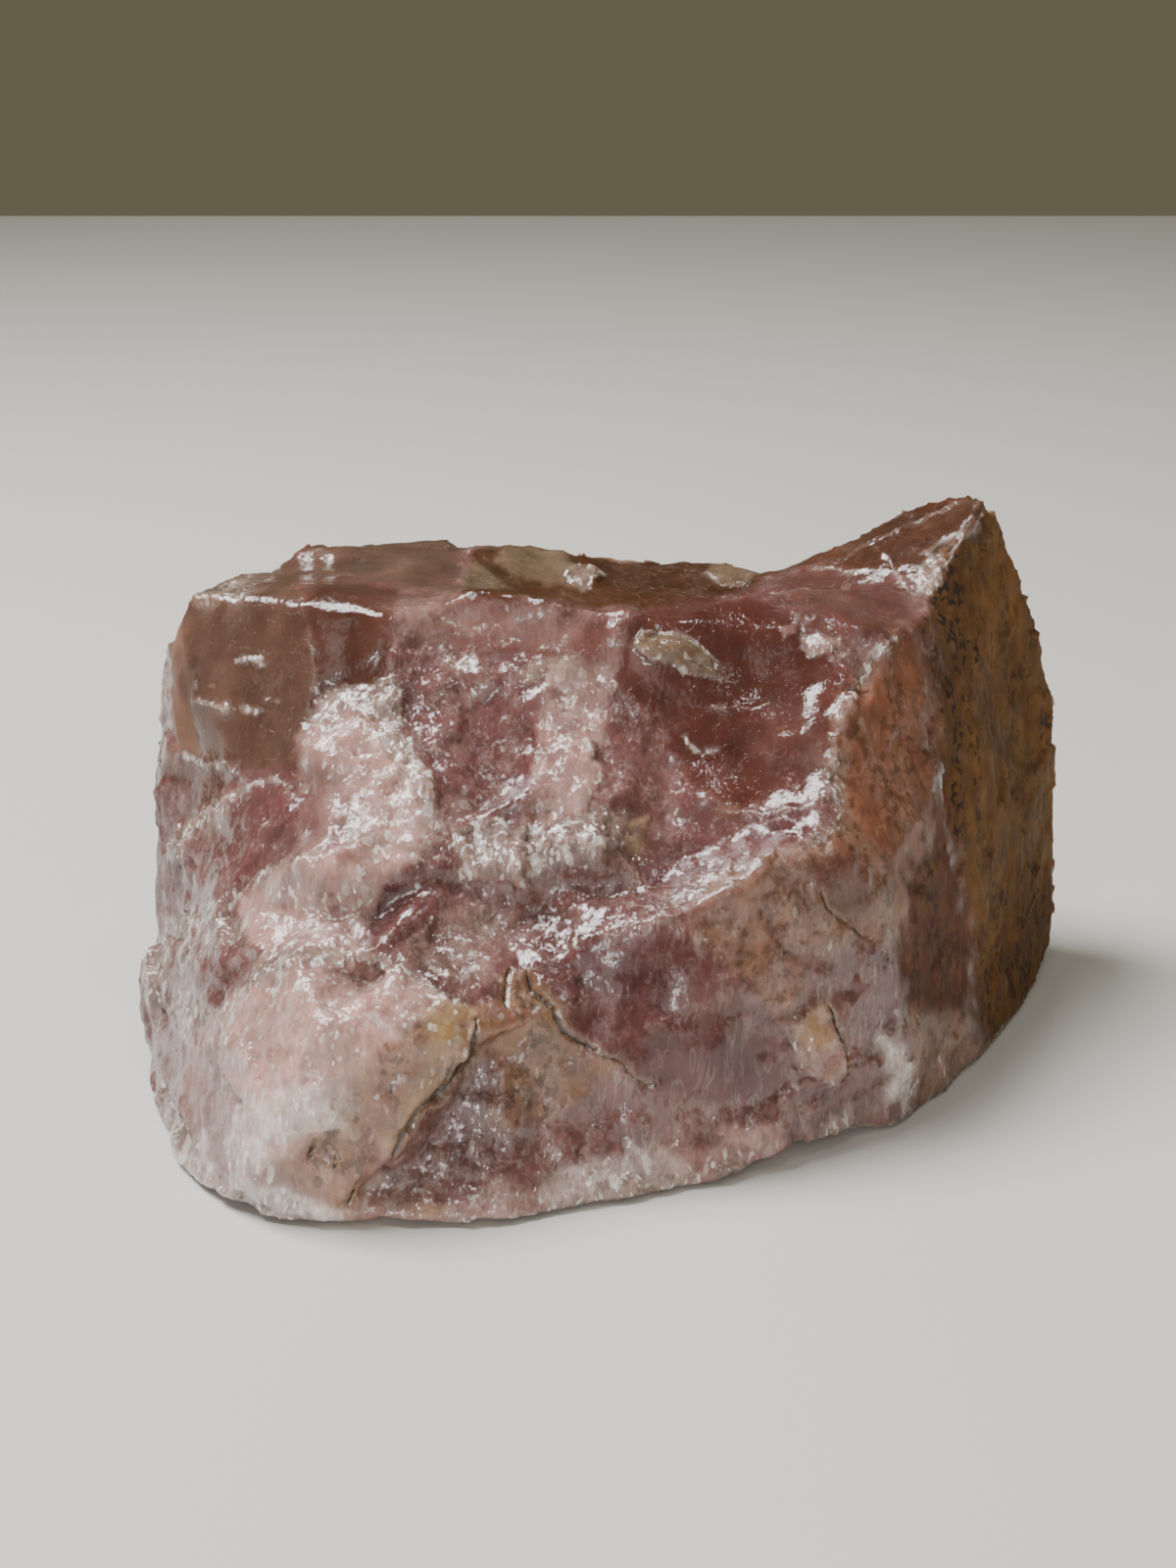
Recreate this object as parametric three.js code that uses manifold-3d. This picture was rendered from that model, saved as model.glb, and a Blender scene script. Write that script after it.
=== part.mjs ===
// A rough chunk of rose quartz, broken from a larger mass and never polished: one solid stone.
// It rests on its flat underside. Units are millimetres, +Z is up, +X runs to the right along
// the broken front and +Y runs from the front to the back. The origin is on the resting face,
// at the middle of the stone's width and depth.
import * as THREE from 'three';
import { ConvexHull } from 'three/addons/math/ConvexHull.js';
import { ImprovedNoise } from 'three/addons/math/ImprovedNoise.js';
import { TessellateModifier } from 'three/addons/modifiers/TessellateModifier.js';
import { mergeVertices } from 'three/addons/utils/BufferGeometryUtils.js';
import Module from 'manifold-3d';

const wasm = await Module();
wasm.setup();

// Driving dimensions of the whole stone.
const WIDTH = 185;
const DEPTH = 129;
const HEIGHT = 102;

// The skin is stretched over its corners as seen from this point inside the stone.
const HEART = new THREE.Vector3(0, 25, 40);

// Two neighbouring faces that turn by more than this meet in a sharp edge, not a rounded one.
const SHARPEST_ROUND = THREE.MathUtils.degToRad(27);
const SMOOTHING_ROUNDS = 2;

// Triangles with a longer edge than this are halved, up to so many times.
const LONGEST_EDGE = 8.5;
const MOST_HALVINGS = 6;

// Points closer than this are one.
const SAME_POINT = 1e-3;

// Shares of the old points in a new one: of a smooth edge's two ends and the two points across
// from it, of a sharp edge's same four, and of a ridge's point and its two neighbours on the ridge.
const SMOOTH_EDGE_SHARES = [3 / 8, 3 / 8, 1 / 8, 1 / 8];
const SHARP_EDGE_SHARES = [1 / 2, 1 / 2, 0, 0];
const RIDGE_SHARES = [3 / 4, 1 / 8, 1 / 8];

// Shares of each neighbour in a smooth point, with three neighbours and with all of more together.
const SHARE_OF_THREE = 3 / 16;
const SHARE_OF_ALL = 3 / 8;

// Corners of the broken surface, [x, y, z], along the ridges, hollows and ledges that they shape.
const CORNERS = {
  // Rim along the back of the top, up to the peak at the right.
  rearRim: [
    [-78, 8, 89], [-75, 16, 89], [-70, 26, 88], [-65, 34, 89], [-60, 40, 92], [-52, 43, 92],
    [-45, 46, 91], [-31, 46, 91], [-14, 46, 90], [-6, 45, 87], [4, 45, 86], [13, 44, 87],
    [22, 43, 88], [27, 42, 86], [33, 43, 87], [42, 44, 90], [53, 44, 94], [63, 42, 100],
    [68, 40, 102], [70, 32, 102],
  ],
  // Right-hand edge, from the peak down to the foot of the weathered side.
  rightOutline: [
    [75, 38, 94], [81, 45, 83], [85, 48, 72], [89, 50, 61], [91, 50, 46], [92, 50, 27],
    [93, 48, 10], [90, 42, 0], [85, 25, 0], [76, 10, 0], [69, -5, 0], [61, -16, 0], [55, -26, 0],
  ],
  // Foot of the front, where it meets the resting face.
  frontFoot: [
    [43, -35, 3], [31, -42, 4], [21, -48, 1], [16, -51, 1], [9, -53, 2], [1, -55, 1],
    [-9, -60, 0], [-17, -64, 0], [-26, -64, 1], [-39, -64, 1], [-50, -64, 1], [-60, -62, 1],
    [-69, -56, 1], [-77, -44, 1],
  ],
  // Left-hand edge, from the top down.
  leftOutline: [
    [-81, 8, 82], [-83, 8, 72], [-83, 8, 59], [-86, 8, 49], [-87, 6, 36], [-89, 4, 25],
    [-91, 2, 15], [-91, 0, 4], [-86, -12, 1], [-83, -28, 0],
  ],
  // Rim along the front of the top.
  frontRim: [
    [-25, 0, 93], [-16, -3, 92], [-6, -4, 90], [3, -4, 90], [11, -4, 91], [24, 4, 92],
    [36, 14, 91],
  ],
  // Flat of the top, left of the trough.
  topLeft: [[-54, 4, 94], [-42, 10, 93], [-38, 34, 92]],
  // Long trough in the top.
  topTrough: [[-22, 26, 87], [-6, 22, 81], [8, 22, 79], [24, 24, 81], [38, 28, 85]],
  // Smooth pane at the upper left of the front.
  leftPane: [
    [-53, -4, 91], [-54, -9, 81], [-53, -15, 72], [-58, -20, 63], [-53, -28, 57], [-67, -19, 50],
    [-77, -6, 45], [-68, -5, 76], [-67, -11, 64],
  ],
  // Narrow dark pane beside it.
  darkPane: [[-47, -6, 88], [-47, -10, 78], [-41, -7, 91]],
  // Frosted ridge that runs down from the rim.
  frostRidge: [
    [-39, -9, 86], [-39, -13, 80], [-39, -18, 75], [-37, -22, 70], [-33, -25, 66], [-31, -30, 59],
  ],
  // Pale step at the foot of the ridge.
  paleStep: [[-47, -19, 73], [-53, -23, 66], [-45, -25, 65], [-40, -30, 60], [-50, -30, 58]],
  // Hollow to the right of the ridge.
  purpleHollow: [
    [-32, -11, 78], [-23, -15, 72], [-28, -22, 64], [-20, -21, 63], [-32, -5, 87], [-20, -6, 86],
  ],
  // Tongue-shaped step in the middle of the front.
  middleStep: [
    [-15, -13, 81], [-13, -18, 73], [-8, -22, 69], [-2, -25, 67], [-6, -28, 61], [2, -31, 58],
    [-6, -35, 53], [-13, -33, 56], [-23, -34, 53], [-16, -26, 64],
  ],
  // Foot of the step's right side.
  stepFoot: [[2, -20, 67], [6, -28, 56], [1, -12, 76]],
  // Smooth bowl of the clear rose-coloured window.
  roseWindow: [
    [-6, -8, 85], [11, -7, 84], [29, -3, 86], [43, 0, 88], [4, -10, 78], [20, -11, 75],
    [34, -9, 78], [11, -17, 64], [25, -18, 62], [33, -20, 65], [11, -27, 53], [21, -27, 54],
    [30, -28, 57],
  ],
  // Jagged ridge between the window and the right side.
  jaggedRidge: [
    [48, -3, 84], [43, -9, 80], [39, -16, 73], [37, -23, 64], [35, -30, 58], [41, -31, 52],
    [46, -29, 43], [49, -28, 33], [51, -27, 19],
  ],
  // Ridge where the front meets the weathered side.
  rindRidge: [[59, 16, 89], [55, 6, 84], [58, 0, 71], [60, -4, 57], [59, -8, 40], [60, -12, 22]],
  // Ledge under the window.
  lowerRim: [
    [27, -34, 56], [17, -40, 51], [9, -42, 47], [2, -43, 46], [-6, -44, 44], [-13, -45, 41],
    [-19, -45, 39],
  ],
  // Lower right part of the front.
  lowerFront: [
    [-3, -47, 38], [11, -44, 40], [24, -40, 42], [34, -35, 45], [-13, -50, 32], [1, -50, 27],
    [14, -47, 27], [28, -41, 28], [40, -33, 28], [-19, -56, 21], [-6, -54, 16], [7, -50, 14],
    [21, -46, 15], [35, -38, 15], [46, -31, 13], [-16, -60, 8], [1, -54, 8],
  ],
  // Recess under the step.
  underStep: [
    [-30, -34, 50], [-19, -34, 47], [-6, -35, 48], [8, -32, 50], [-26, -38, 43], [-13, -40, 44],
  ],
  // Shoulder above the lobe.
  paleShoulder: [
    [-56, -34, 54], [-48, -37, 55], [-39, -36, 53], [-64, -31, 45], [-52, -37, 45],
    [-41, -37, 44], [-35, -39, 41], [-69, -30, 39],
  ],
  // Lobe at the front left.
  frontLobe: [
    [-71, -36, 31], [-62, -45, 38], [-53, -50, 43], [-45, -52, 43], [-37, -52, 41],
    [-30, -53, 38], [-24, -54, 34], [-25, -57, 29], [-31, -60, 22], [-38, -63, 13],
    [-61, -55, 31], [-49, -61, 36], [-38, -62, 34], [-54, -64, 23], [-43, -65, 23],
    [-65, -57, 19], [-58, -64, 10], [-46, -66, 10],
  ],
  // Cleft along the lobe's right side.
  lobeFoot: [[-22, -50, 28], [-24, -51, 23], [-29, -54, 16], [-34, -58, 10]],
  // Left side.
  leftFlank: [
    [-78, -12, 35], [-79, -18, 26], [-81, -22, 15], [-75, -38, 13], [-70, -22, 45], [-85, 22, 76],
    [-88, 24, 60], [-90, 26, 40], [-88, 22, 16], [-84, 20, 3], [-82, 32, 68],
  ],
  // Weathered right side.
  rind: [[66, 18, 70], [74, 22, 52], [80, 26, 30], [72, 8, 34], [70, 2, 14], [84, 32, 12]],
  // Back, with hollows between its lumps.
  back: [
    [-74, 40, 78], [-56, 52, 76], [-34, 60, 78], [-12, 54, 72], [12, 50, 68], [34, 58, 74],
    [52, 62, 80], [68, 56, 84], [-80, 38, 50], [-60, 54, 46], [-36, 64, 44], [-12, 58, 40],
    [14, 54, 42], [40, 62, 40], [58, 64, 50], [76, 60, 50], [-80, 34, 22], [-62, 48, 20],
    [-40, 60, 18], [-14, 64, 22], [12, 60, 18], [36, 64, 20], [62, 62, 24], [80, 58, 20],
    [-76, 30, 5], [-50, 50, 6], [-24, 58, 4], [4, 56, 6], [32, 60, 5], [60, 58, 4], [82, 54, 5],
  ],
  // Underside, which the flat cut trims.
  base: [
    [-80, 10, -2], [-68, 26, -2], [-44, 46, -2], [-6, 50, -2], [34, 54, -2], [62, 50, -2],
    [78, 44, -2], [-66, -26, -4], [-62, -50, -2], [-40, -56, -2], [-18, -54, -2], [8, -44, -2],
    [36, -22, -4], [64, -2, -2], [-20, -26, -6], [18, -14, -6], [50, 12, -6], [-40, 10, -6],
    [5, 20, -6], [50, 32, -6],
  ],
};

// Roughness of every broken face and edge: how far a point strays, over what distance. Each layer
// and each axis reads the noise this far from the others, so that they stray on their own.
const ROUGHNESS = [
  { stray: 1.6, over: 24 },
  { stray: 0.8, over: 10 },
  { stray: 0.4, over: 4.5 },
];
const APART = 40;

// Shallow scallops with sharp crests between them: how deep, and how far apart.
const SCALLOPS = [
  { deep: 2.4, over: 24 },
  { deep: 0.8, over: 10 },
];

// The closed skin of triangles over all corners.
function stretchedSkin(corners) {
  const directions = corners.map((corner) => corner.clone().sub(HEART)
    .divide(new THREE.Vector3(WIDTH, DEPTH, HEIGHT)).normalize());
  const number = new Map(directions.map((direction, index) => [direction, index]));
  const faces = new ConvexHull().setFromPoints(directions).faces.map(({ edge }) => (
    [edge, edge.next, edge.next.next].map((side) => number.get(side.head().point))));
  return { points: corners, faces };
}

// One name for an edge, whichever end comes first.
const edgeKey = (a, b) => (a < b ? `${a} ${b}` : `${b} ${a}`);

// Every edge, with its ends, the points across from it and how sharply its two faces turn.
function edgesOf({ points, faces }) {
  const edges = new Map();
  for (const face of faces) {
    const [a, b, c] = face.map((corner) => points[corner]);
    const normal = new THREE.Triangle(a, b, c).getNormal(new THREE.Vector3());
    face.forEach((from, side) => {
      const to = face[(side + 1) % 3];
      const across = face[(side + 2) % 3];
      const key = edgeKey(from, to);
      const met = edges.get(key);
      if (met) {
        met.across.push(across);
        met.turn = met.normal.angleTo(normal);
      } else {
        edges.set(key, { ends: [from, to], across: [across], normal, turn: 0 });
      }
    });
  }
  return edges;
}

// The edges that stay sharp through the smoothing.
function sharpEdges(skin) {
  return new Set([...edgesOf(skin)].filter(([, { turn }]) => turn > SHARPEST_ROUND).map(([key]) => key));
}

// The weighted sum of some points.
const blend = (points, shares) => points.reduce(
  (sum, point, index) => sum.addScaledVector(point, shares[index]), new THREE.Vector3());

// One round of smoothing: each face becomes four, rounded except along the sharp edges.
function rounded({ points, faces }, sharp) {
  const edges = edgesOf({ points, faces });
  const middles = new Map();
  const made = [];
  const around = points.map(() => ({ near: [], sharp: [] }));
  for (const [key, { ends, across }] of edges) {
    const isSharp = sharp.has(key);
    middles.set(key, points.length + made.length);
    made.push(blend([...ends, ...across].map((index) => points[index]),
      isSharp ? SHARP_EDGE_SHARES : SMOOTH_EDGE_SHARES));
    ends.forEach((end, side) => {
      around[end].near.push(points[ends[1 - side]]);
      if (isSharp) around[end].sharp.push(points[ends[1 - side]]);
    });
  }
  const moved = points.map((point, index) => {
    const { near, sharp: ridge } = around[index];
    if (ridge.length > 2) return point.clone();
    if (ridge.length === 2) return blend([point, ...ridge], RIDGE_SHARES);
    const share = near.length === 3 ? SHARE_OF_THREE : SHARE_OF_ALL / near.length;
    return blend([point, ...near], [1 - share * near.length, ...near.map(() => share)]);
  });
  const halves = [...edges].filter(([key]) => sharp.has(key)).flatMap(([key, { ends }]) => (
    ends.map((end) => edgeKey(end, middles.get(key)))));
  const smaller = faces.flatMap(([a, b, c]) => {
    const [ab, bc, ca] = [[a, b], [b, c], [c, a]].map(([from, to]) => middles.get(edgeKey(from, to)));
    return [[a, ab, ca], [ab, b, bc], [ca, bc, c], [ab, bc, ca]];
  });
  return { skin: { points: [...moved, ...made], faces: smaller }, sharp: new Set(halves) };
}

// The skin as one mesh.
function geometryOf({ points, faces }) {
  return new THREE.BufferGeometry().setFromPoints(points).setIndex(faces.flat());
}

// The mesh as a closed solid, with its coinciding points joined.
function solidOf(geometry) {
  const bare = new THREE.BufferGeometry()
    .setAttribute('position', geometry.attributes.position)
    .setIndex(geometry.index);
  const merged = mergeVertices(bare, SAME_POINT);
  return new wasm.Manifold(new wasm.Mesh({
    numProp: 3,
    vertProperties: merged.attributes.position.array,
    triVerts: new Uint32Array(merged.index.array),
  }));
}

// Cuts off what reaches below the resting face, so that the stone stands on a flat.
function cutFlat(geometry) {
  const ground = new THREE.BoxGeometry(2 * WIDTH, 2 * DEPTH, HEIGHT).translate(0, 0, -HEIGHT / 2);
  const { numProp, vertProperties, triVerts } = solidOf(geometry).subtract(solidOf(ground)).getMesh();
  return new THREE.BufferGeometry()
    .setAttribute('position', new THREE.BufferAttribute(vertProperties, numProp))
    .setIndex(new THREE.BufferAttribute(triVerts, 1));
}

// Brings the stone to its driving size, with its resting face centred on the origin.
function fitted(geometry) {
  geometry.computeBoundingBox();
  const { min, max } = geometry.boundingBox;
  const size = new THREE.Vector3().subVectors(max, min);
  return geometry
    .translate(-(min.x + max.x) / 2, -(min.y + max.y) / 2, -min.z)
    .scale(WIDTH / size.x, DEPTH / size.y, HEIGHT / size.z);
}

// Dishes every face with scallops and strays every point a little, so that edges run unevenly.
function roughened(geometry) {
  const noise = new ImprovedNoise();
  const position = geometry.attributes.position;
  const from = new THREE.Vector3();
  for (let i = 0; i < position.count; i += 1) {
    from.fromBufferAttribute(position, i);
    const to = from.clone();
    const outward = from.clone().sub(HEART).normalize();
    for (const { deep, over } of SCALLOPS) {
      const p = from.clone().divideScalar(over);
      to.addScaledVector(outward, -deep * Math.abs(noise.noise(p.x, p.y, p.z)));
    }
    ROUGHNESS.forEach(({ stray, over }, layer) => {
      const p = from.clone().divideScalar(over).addScalar(APART * layer);
      to.x += stray * noise.noise(p.x, p.y, p.z);
      to.y += stray * noise.noise(p.y + APART, p.z, p.x);
      to.z += stray * noise.noise(p.z - APART, p.x, p.y);
    });
    position.setXYZ(i, to.x, to.y, to.z);
  }
  return geometry;
}

// The whole stone, from its corners to the finished closed mesh.
function stone() {
  const corners = Object.values(CORNERS).flat().map((corner) => new THREE.Vector3(...corner));
  let skin = stretchedSkin(corners);
  let sharp = sharpEdges(skin);
  for (let round = 0; round < SMOOTHING_ROUNDS; round += 1) {
    ({ skin, sharp } = rounded(skin, sharp));
  }
  const fine = new TessellateModifier(LONGEST_EDGE, MOST_HALVINGS).modify(geometryOf(skin));
  return fitted(cutFlat(roughened(fine)));
}

const chunk = new THREE.Mesh(
  stone(),
  new THREE.MeshStandardMaterial({ color: 0xb98a8e, roughness: 0.35, metalness: 0 }),
);
chunk.name = 'rose_quartz_chunk';

const part = new THREE.Group();
part.add(chunk);
export default part;
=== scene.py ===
"""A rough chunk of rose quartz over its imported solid, on a plain floor in studio light."""

import logging
import math
from dataclasses import dataclass, field
from enum import Enum

import bmesh
import bpy
import numpy as np
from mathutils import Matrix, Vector, noise


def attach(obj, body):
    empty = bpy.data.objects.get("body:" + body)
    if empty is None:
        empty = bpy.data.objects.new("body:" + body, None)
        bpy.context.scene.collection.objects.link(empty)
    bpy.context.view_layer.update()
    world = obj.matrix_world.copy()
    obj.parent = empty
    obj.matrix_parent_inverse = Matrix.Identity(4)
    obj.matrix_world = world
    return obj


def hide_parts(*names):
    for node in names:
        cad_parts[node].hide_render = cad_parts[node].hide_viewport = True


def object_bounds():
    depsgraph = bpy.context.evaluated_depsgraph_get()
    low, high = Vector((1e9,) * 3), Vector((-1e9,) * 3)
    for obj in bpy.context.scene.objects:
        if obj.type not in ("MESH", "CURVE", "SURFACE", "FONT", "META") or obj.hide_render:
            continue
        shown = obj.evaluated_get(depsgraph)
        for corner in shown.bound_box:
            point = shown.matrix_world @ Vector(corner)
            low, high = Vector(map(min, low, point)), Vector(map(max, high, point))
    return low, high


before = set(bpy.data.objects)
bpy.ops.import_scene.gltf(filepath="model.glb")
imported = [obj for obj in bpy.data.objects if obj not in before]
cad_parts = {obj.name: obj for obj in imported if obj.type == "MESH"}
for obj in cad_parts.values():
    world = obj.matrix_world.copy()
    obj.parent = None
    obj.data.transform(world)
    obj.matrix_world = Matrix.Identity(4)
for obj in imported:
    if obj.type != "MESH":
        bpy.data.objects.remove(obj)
CAD_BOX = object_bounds()

LOG = logging.getLogger("rose_quartz")
MM = 0.001
# Draws the random tilts of neighbouring facets from places that lie well apart.
CELLS_APART = 9.7

Outline = tuple[tuple[int, int], ...]


def linear(colour: str) -> tuple[float, float, float, float]:
    """Turns an sRGB hex colour to the linear one that shaders use.

    Args:
        colour: six hex digits after a hash sign.

    Returns:
        Red, green, blue and an alpha of 1.
    """
    parts = [int(colour[i:i + 2], 16) / 255 for i in (1, 3, 5)]
    parts = [c / 12.92 if c <= 0.04045 else ((c + 0.055) / 1.055) ** 2.4 for c in parts]
    return (*parts, 1.0)


def ramp(value: np.ndarray, low: float, high: float) -> np.ndarray:
    """Rises smoothly from 0 at low to 1 at high.

    Args:
        value: the numbers to map.
        low: where the rise starts.
        high: where it ends.

    Returns:
        One number from 0 to 1 for each value.
    """
    t = np.clip((value - low) / (high - low), 0, 1)
    return t * t * (3 - 2 * t)


def per_metre(size: float) -> float:
    """Tells how many lumps of a size in millimetres fit in a metre."""
    return 1 / (size * MM)


@dataclass(frozen=True)
class Viewpoint:
    """Where the stone is seen from, and the frame that patches are outlined in."""

    place: tuple[float, float, float] = (-0.006, -0.396, 0.200)
    down: float = math.radians(20)
    focal: float = 2328
    wide: int = 1200
    high: int = 1600
    stone_away: float = 420

    @property
    def millimetre(self) -> float:
        """How many pixels a millimetre covers on the front of the stone."""
        return self.focal / self.stone_away

    def pixels(self, points: np.ndarray) -> np.ndarray:
        """Finds where points show in the frame.

        Args:
            points: one row of x, y, z in metres for each point.

        Returns:
            One row of across and down pixels for each point.
        """
        x, y, z = (points - np.array(self.place)).T
        depth = y * math.cos(self.down) - z * math.sin(self.down)
        up = y * math.sin(self.down) + z * math.cos(self.down)
        across = self.wide / 2 + self.focal * x / depth
        return np.column_stack([across, self.high / 2 - self.focal * up / depth])

    def facing(self, points: np.ndarray, normals: np.ndarray) -> np.ndarray:
        """Tells how squarely each point faces the viewer, from -1 to 1."""
        towards = np.array(self.place) - points
        towards /= np.linalg.norm(towards, axis=1)[:, None]
        return (normals * towards).sum(axis=1)


class Kind(Enum):
    """The kinds of broken surface that the stone shows."""

    PANE = "smoky clear pane"
    DARK = "dark clear pane"
    # The top hollow's dark olive brown is painted shade and a painted reflection of green
    # surroundings, not a colour of the stone.
    TROUGH = "dark olive hollow of the top"
    ROSE = "deep rose window"
    BLUSH = "rose window with a thin veil"
    MAUVE = "mauve crystal full of fine breaks"
    PLUM = "smooth deep mauve"
    PALE = "pale milky pink"
    TAN = "pale tan, stained"
    FROST = "white crushed edge"
    IRON = "yellow iron stain"
    RIND = "weathered brown rind"
    PITTED = "pitted rind that holds brown earth"
    STRIP = "pinkish tan strip beside the rind"
    # Painted shade: the lower rind's red-brown is darkened for the shade it lies in.
    SHADED = "reddish brown rind, in its lower part"
    FLAKE = "thin clear flake that stands off the break"
    CRUST = "pale crushed foot"
    WORN = "dull side of the smoky pane"
    # Painted shade: the left side is a darker mauve for the shade it lies in, and it is also dull.
    FLANK = "dull mauve left side"


@dataclass(frozen=True)
class Look:
    """What one kind of surface looks and feels like."""

    colour: str
    veil: float
    frost: float
    clear: float
    rough: float
    relief: float
    soil: float = 0.0
    iron: float = 0.0


LOOKS: dict[Kind, Look] = {
    Kind.PANE: Look("#79584a", 0.12, 0.01, 0.55, 0.08, 0.12),
    Kind.DARK: Look("#6d4439", 0.06, 0.01, 0.55, 0.08, 0.10),
    # Painted shade and painted olive reflection for the top hollow.
    Kind.TROUGH: Look("#5a3622", 0.10, 0.01, 0.50, 0.12, 0.18),
    Kind.ROSE: Look("#6c3c34", 0.10, 0.00, 0.50, 0.08, 0.08),
    Kind.BLUSH: Look("#744a43", 0.25, 0.02, 0.40, 0.12, 0.24),
    Kind.MAUVE: Look("#7a504e", 0.42, 0.14, 0.25, 0.14, 0.70),
    Kind.PLUM: Look("#6a3f3f", 0.30, 0.05, 0.25, 0.17, 0.42),
    Kind.PALE: Look("#b88f86", 0.28, 0.42, 0.15, 0.19, 0.75),
    Kind.TAN: Look("#87624f", 0.34, 0.20, 0.06, 0.28, 0.60, 0.60, 0.20),
    Kind.FROST: Look("#a0867b", 0.35, 0.75, 0.30, 0.14, 1.10),
    Kind.IRON: Look("#b99b70", 0.40, 0.35, 0.10, 0.22, 0.60, 0.10, 0.80),
    Kind.RIND: Look("#664012", 0.06, 0.02, 0.02, 0.95, 0.40, 0.50, 0.10),
    Kind.PITTED: Look("#5b3710", 0.03, 0.00, 0.02, 0.95, 0.60, 1.30, 0.05),
    Kind.STRIP: Look("#86543f", 0.28, 0.06, 0.06, 0.36, 0.40, 0.50, 0.10),
    # Painted shade on the lower rind, over its reddish brown.
    Kind.SHADED: Look("#5a2d19", 0.08, 0.02, 0.02, 0.80, 0.40, 0.60, 0.10),
    Kind.FLAKE: Look("#89735c", 0.20, 0.12, 0.40, 0.12, 0.35),
    Kind.WORN: Look("#75523f", 0.08, 0.02, 0.10, 0.95, 0.12),
    # Painted shade on the left side, with a dull finish.
    Kind.FLANK: Look("#5a3535", 0.20, 0.10, 0.08, 0.85, 0.60),
    Kind.CRUST: Look("#dbcfc8", 0.20, 0.60, 0.10, 0.16, 0.90),
}


@dataclass(frozen=True)
class Patch:
    """One patch of a kind, outlined in the viewpoint's frame."""

    kind: Kind
    outline: Outline
    soft: float = 9
    ragged: float = 11
    strength: float = 1.0
    raised: float = 0.0


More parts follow.
